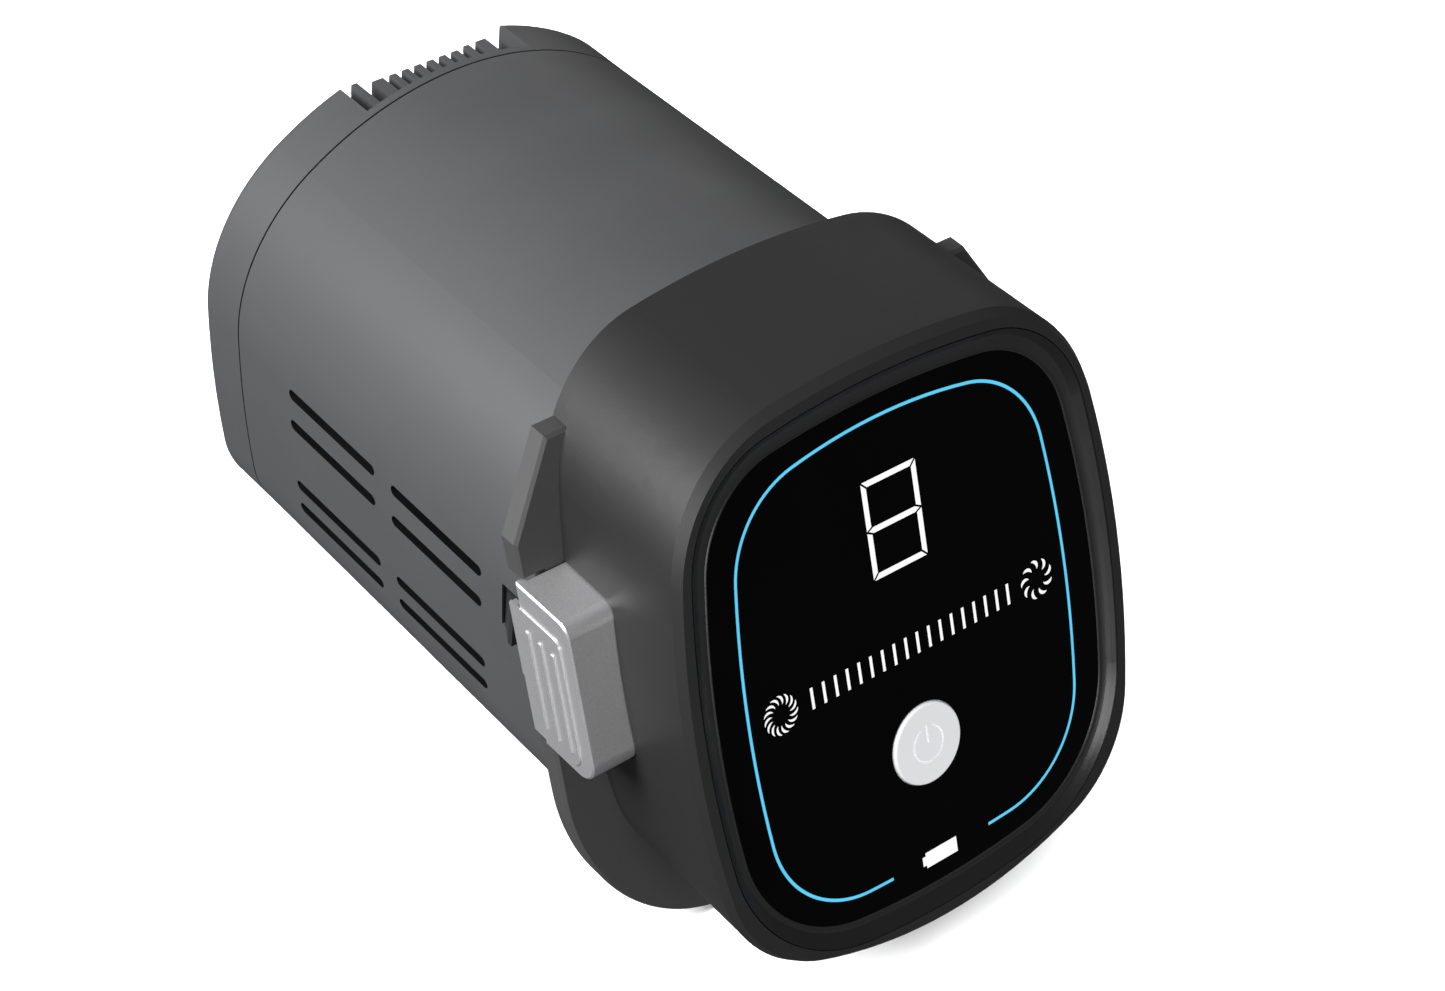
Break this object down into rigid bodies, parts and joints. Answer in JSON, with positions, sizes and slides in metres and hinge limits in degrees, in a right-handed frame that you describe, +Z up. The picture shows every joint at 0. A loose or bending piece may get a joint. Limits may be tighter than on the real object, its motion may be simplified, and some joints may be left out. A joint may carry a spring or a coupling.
{
  "type": "plug-in battery pack with display",
  "caption": "Slide-in rechargeable battery pack: long rounded casing, leaning collar with a lit display and power button, sprung side latches and a rear blade socket.",
  "frame": {"origin": "the point where the insertion axis pierces the seating face, the back face of the seat flange", "axes": "+Y along the insertion axis, into the host; +Z up; +X to the right of someone facing the display"},
  "size_m": [0.0924, 0.1281, 0.0848],
  "materials": {
    "casing": "fine satin grain",
    "collar": "fine matt grain",
    "bezel": "satin",
    "window": "polished black",
    "ring_light": "lit cyan light guide",
    "white_light": "lit white diffuser",
    "button": "satin white",
    "pad": "soft",
    "latch": "silver paint, finely grained",
    "hook": "smooth matt",
    "steel": "zinc plated",
    "contact": "bright",
    "inner_plastic": "matt",
    "circuit_board": "solder mask",
    "chips": "moulded",
    "cell_sleeve": "shrink sleeve"
  },
  "bodies": {
    "pack": {"main_casing": "casing", "rear_cap": "casing", "cap_screws": "steel", "blade_socket": "casing", "contact_leaves": "contact", "collar": "collar", "seat_flange": "collar", "seat_screws": "steel", "bezel": "bezel", "display_window": "window", "ring_light": "ring_light", "level_bars": "white_light", "digit_segments": "white_light", "fan_icon_low": "white_light", "fan_icon_high": "white_light", "battery_symbol": "white_light", "light_box": "inner_plastic", "display_board": "circuit_board", "display_screws": "steel", "display_leds": "white_light", "tact_switch": "chips", "cell_1": "cell_sleeve", "cell_2": "cell_sleeve", "cell_3": "cell_sleeve", "cell_4": "cell_sleeve", "cell_5": "cell_sleeve", "cell_6": "cell_sleeve", "cell_7": "cell_sleeve", "cell_holder_front": "inner_plastic", "cell_holder_rear": "inner_plastic", "link_plates_front": "contact", "link_plates_rear": "contact", "control_board": "circuit_board", "board_screws": "steel", "board_chips": "chips"},
    "power_button": {"power_button": "button", "button_pad": "pad"},
    "latch_left": {"latch_button_left": "latch", "latch_hook_left": "hook", "latch_spring_left": "steel"},
    "latch_right": {"latch_button_right": "latch", "latch_hook_right": "hook", "latch_spring_right": "steel"}
  },
  "joints": [
    {"name": "power_press", "type": "slide", "parent": "pack", "child": "power_button", "axis": [0, 0.9385, -0.3453], "range_m": [0, 0.0005], "stiffness_N_per_m": 1500, "springref_m": -0.0003},
    {"name": "latch_left_press", "type": "slide", "parent": "pack", "child": "latch_left", "axis": [1, 0, 0], "range_m": [0, 0.003], "stiffness_N_per_m": 1200, "springref_m": -0.002},
    {"name": "latch_right_press", "type": "slide", "parent": "pack", "child": "latch_right", "axis": [-1, 0, 0], "range_m": [0, 0.003], "stiffness_N_per_m": 1200, "springref_m": -0.002}
  ]
}
